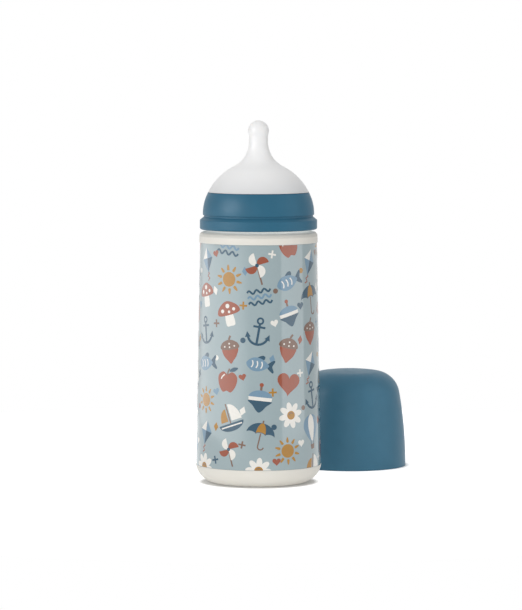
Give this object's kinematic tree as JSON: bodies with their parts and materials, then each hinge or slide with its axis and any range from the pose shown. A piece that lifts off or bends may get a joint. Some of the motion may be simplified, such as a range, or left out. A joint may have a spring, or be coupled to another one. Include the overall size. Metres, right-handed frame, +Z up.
{
  "type": "baby bottle",
  "caption": "Wide-neck baby feeding bottle with a printed film, a screw collar, a soft domed teat and a push-on cap that stands beside it.",
  "frame": {"origin": "centre of the ring the bottle stands on, on the floor plane", "axes": "+Z up along the axis of bottle, collar and teat; +X to the right and +Y to the back as pictured, with the scale on the back; the cap stands at +X and +Y"},
  "size_m": [0.1171, 0.1435, 0.196],
  "materials": {
    "bottle": "milky satin",
    "print_film": "glossy printed film",
    "collar": "satin",
    "teat": "satin translucent",
    "cap": "satin"
  },
  "bodies": {
    "bottle": {"bottle": "bottle", "print_film": "print_film"},
    "teat": {"teat": "teat"},
    "collar": {"collar": "collar"},
    "cap": {"cap": "cap"}
  },
  "joints": [
    {"name": "collar_lift", "type": "slide", "parent": "bottle", "child": "teat", "axis": [0, 0, 1], "range_m": [0, 0.01801]},
    {"name": "collar_turn", "type": "hinge", "parent": "teat", "child": "collar", "pos_m": [0, 0, 0.147], "axis": [0, 0, 1], "range_deg": [0, 1080]},
    {"name": "cap_lift", "type": "slide", "parent": "bottle", "child": "cap", "axis": [0, 0, 1], "range_m": [0, 0.2]}
  ],
  "couplings": [
    {"joint": "collar_lift", "follows": "collar_turn", "m_per_rad": 0.00095493}
  ]
}
